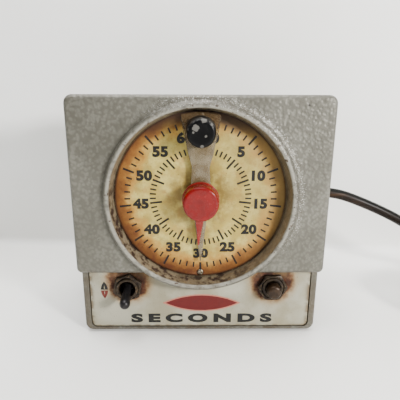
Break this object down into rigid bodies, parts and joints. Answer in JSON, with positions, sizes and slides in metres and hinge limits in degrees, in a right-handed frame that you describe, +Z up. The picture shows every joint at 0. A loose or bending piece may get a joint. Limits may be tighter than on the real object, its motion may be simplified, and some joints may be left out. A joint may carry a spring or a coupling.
{
  "type": "enlarger timer",
  "caption": "Cast-metal darkroom timer with a round seconds dial, clear set arm with knob, red timing hand, toggle switch, start button, two rear outlets and mains lead.",
  "frame": {"origin": "middle of the footprint of the timer without its lead, on the surface it stands on", "axes": "+Z up, the dial faces -Y, +X is the right-hand side seen from the front"},
  "size_m": [0.2992, 0.1187, 0.1302],
  "materials": {
    "hammertone": "silver-grey hammered enamel on a casting, worn bright at the edges",
    "panel_enamel": "off-white enamel with brown rust halos",
    "dial_face": "cream printed dial, rust-stained towards its rim",
    "bright_screw": "dull plated screws",
    "clear_plastic": "clear acrylic, clouded with age",
    "brass": "machined brass",
    "steel": "plain steel",
    "black_knob": "black enamel, chipped at the rim",
    "red_plastic": "glossy red plastic",
    "bakelite": "dark brown moulded plastic",
    "coil_tape": "wound coil under varnished tape",
    "dark_bronze": "oxidised plated steel",
    "grey_steel": "grey enamel on pressed steel",
    "rubber": "black rubber",
    "cord_rubber": "dark brown rubber jacket"
  },
  "bodies": {
    "case": {"front_housing": "hammertone", "control_panel": "panel_enamel", "dial_plate": "dial_face", "dial_screw_top": "bright_screw", "dial_screw_bottom": "bright_screw", "friction_washer": "steel", "movement_front_plate": "brass", "movement_rear_plate": "brass", "movement_pillar_1": "steel", "movement_pillar_2": "steel", "movement_pillar_3": "steel", "movement_pillar_4": "steel", "pillar_nut_1": "brass", "pillar_nut_2": "brass", "pillar_nut_3": "brass", "pillar_nut_4": "brass", "return_spring": "steel", "trip_switch": "bakelite", "motor_gearcase": "steel", "motor_field": "steel", "motor_coil": "coil_tape", "toggle_body": "bakelite", "toggle_bushing": "dark_bronze", "toggle_nut": "dark_bronze", "button_body": "bakelite", "button_bushing": "dark_bronze", "button_nut": "dark_bronze", "start_button_spring": "steel", "back_cover": "grey_steel", "cover_screw_1": "bright_screw", "cover_screw_2": "bright_screw", "cover_screw_3": "bright_screw", "cover_screw_4": "bright_screw", "outlet_safelight": "bakelite", "outlet_enlarger": "bakelite", "foot_1": "rubber", "foot_2": "rubber", "foot_3": "rubber", "foot_4": "rubber", "strain_relief": "rubber", "power_cord": "cord_rubber", "cord_coil": "cord_rubber", "cord_tail": "cord_rubber", "plug_body": "rubber", "plug_blade_1": "brass", "plug_blade_2": "brass"},
    "set_arm": {"set_arm": "clear_plastic", "set_arm_bushing": "brass", "set_knob": "black_knob", "set_knob_screw": "bright_screw"},
    "timing_hand": {"hand_hub": "red_plastic", "hand_pointer": "red_plastic", "main_arbor": "steel", "main_wheel": "brass", "trip_cam": "brass"},
    "pinion": {"drive_pinion": "brass"},
    "rotor": {"motor_rotor": "steel"},
    "trip_lever": {"trip_switch_lever": "steel"},
    "toggle": {"toggle_lever": "dark_bronze"},
    "button": {"start_button": "dark_bronze"}
  },
  "joints": [
    {"name": "set_arm_turn", "type": "hinge", "parent": "case", "child": "set_arm", "pos_m": [0, -0.033, 0.0788], "axis": [0, 1, 0], "range_deg": [-166.8, 166.8]},
    {"name": "timing_hand_turn", "type": "hinge", "parent": "case", "child": "timing_hand", "pos_m": [0, -0.015, 0.0788], "axis": [0, 1, 0], "range_deg": [-169.6, 164]},
    {"name": "pinion_turn", "type": "hinge", "parent": "case", "child": "pinion", "pos_m": [0, -0.011, 0.0563], "axis": [0, 1, 0], "range_deg": [-690, 690]},
    {"name": "rotor_spin", "type": "hinge", "parent": "case", "child": "rotor", "pos_m": [0, 0.02, 0.0563], "axis": [0, 1, 0], "continuous": true},
    {"name": "trip_lever_swing", "type": "hinge", "parent": "case", "child": "trip_lever", "pos_m": [-0.0156, -0.0022, 0.0868], "axis": [0, 1, 0], "range_deg": [0, 3.5], "stiffness_Nm_per_rad": 0.02},
    {"name": "toggle_throw", "type": "hinge", "parent": "case", "child": "toggle", "pos_m": [-0.0394, -0.024, 0.0281], "axis": [1, 0, 0], "range_deg": [-32, 0]},
    {"name": "start_button_push", "type": "slide", "parent": "case", "child": "button", "axis": [0, 1, 0], "range_m": [0, 0.0026], "stiffness_N_per_m": 300}
  ],
  "couplings": [
    {"joint": "pinion_turn", "follows": "timing_hand_turn", "ratio": -4}
  ]
}
